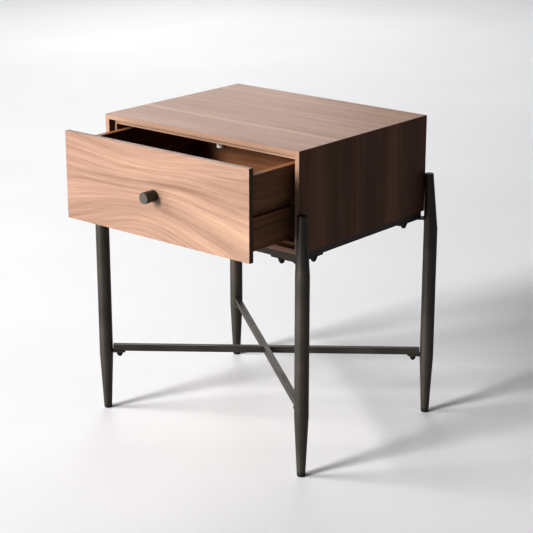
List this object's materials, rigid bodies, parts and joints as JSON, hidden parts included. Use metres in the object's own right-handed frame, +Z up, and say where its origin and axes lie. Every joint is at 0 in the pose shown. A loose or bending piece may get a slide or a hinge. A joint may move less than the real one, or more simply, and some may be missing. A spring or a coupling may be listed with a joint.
{
  "type": "side table with drawer",
  "caption": "Small rectangular side table: mitred walnut case with a pull-out drawer on tapered dark metal legs joined by a crossed stretcher.",
  "frame": {"origin": "on the floor under the middle of the whole part's box, with the drawer standing partly open as at rest; the case's own middle is 59 mm behind the origin", "axes": "+Z up; the drawer faces and opens towards -Y; +X is the right-hand side of someone facing the drawer's front"},
  "size_m": [0.5, 0.516, 0.5725],
  "materials": {
    "walnut_case": "satin open-grain walnut veneer",
    "walnut_liner": "satin walnut veneer",
    "walnut_front": "satin crown-cut walnut veneer",
    "drawer_box_wood": "satin walnut veneer",
    "drawer_bottom_board": "satin veneered board",
    "runner_hardwood": "waxed hardwood",
    "bronze_steel": "satin dark bronze powder coat",
    "knob_metal": "satin dark bronze with a brushed face",
    "black_hardware": "black plated steel",
    "zinc_screws": "zinc plated",
    "black_plastic": "matt black plastic",
    "white_nylon": "satin white nylon",
    "soft_pads": "matt soft pad"
  },
  "bodies": {
    "table": {"case_top": "walnut_case", "case_bottom": "walnut_case", "case_left_side": "walnut_case", "case_right_side": "walnut_case", "case_back_panel": "walnut_case", "liner_top": "walnut_liner", "liner_bottom": "walnut_liner", "liner_left": "walnut_liner", "liner_right": "walnut_liner", "runner_left": "runner_hardwood", "runner_right": "runner_hardwood", "back_panel_screws": "zinc_screws", "runner_screws": "zinc_screws", "drawer_stop_screw": "zinc_screws", "case_screws": "zinc_screws", "drawer_stop": "white_nylon", "frame_front_bar": "bronze_steel", "frame_rear_bar": "bronze_steel", "frame_left_bar": "bronze_steel", "frame_right_bar": "bronze_steel", "frame_studs": "black_hardware", "stretcher_studs": "black_hardware", "frame_nuts": "black_hardware", "stretcher_nuts": "black_hardware", "corner_bracket_front_left": "bronze_steel", "leg_front_left": "bronze_steel", "stretcher_tab_front_left": "bronze_steel", "leg_cap_front_left": "bronze_steel", "leg_glide_front_left": "black_plastic", "corner_bracket_front_right": "bronze_steel", "leg_front_right": "bronze_steel", "stretcher_tab_front_right": "bronze_steel", "leg_cap_front_right": "bronze_steel", "leg_glide_front_right": "black_plastic", "corner_bracket_rear_left": "bronze_steel", "leg_rear_left": "bronze_steel", "stretcher_tab_rear_left": "bronze_steel", "leg_cap_rear_left": "bronze_steel", "leg_glide_rear_left": "black_plastic", "corner_bracket_rear_right": "bronze_steel", "leg_rear_right": "bronze_steel", "stretcher_tab_rear_right": "bronze_steel", "leg_cap_rear_right": "bronze_steel", "leg_glide_rear_right": "black_plastic", "stretcher_rail_lower": "bronze_steel", "stretcher_rail_upper": "bronze_steel", "rail_end_plugs": "black_plastic"},
    "drawer": {"drawer_front": "walnut_front", "drawer_box_front": "drawer_box_wood", "drawer_left_side": "drawer_box_wood", "drawer_right_side": "drawer_box_wood", "drawer_back": "drawer_box_wood", "drawer_bottom": "drawer_bottom_board", "drawer_dowels": "runner_hardwood", "drawer_front_screws": "zinc_screws", "knob": "knob_metal", "knob_screw": "zinc_screws", "front_bumpers": "soft_pads"}
  },
  "joints": [
    {"name": "drawer_slide", "type": "slide", "parent": "table", "child": "drawer", "axis": [0, -1, 0], "range_m": [-0.1114, 0.1332]}
  ]
}
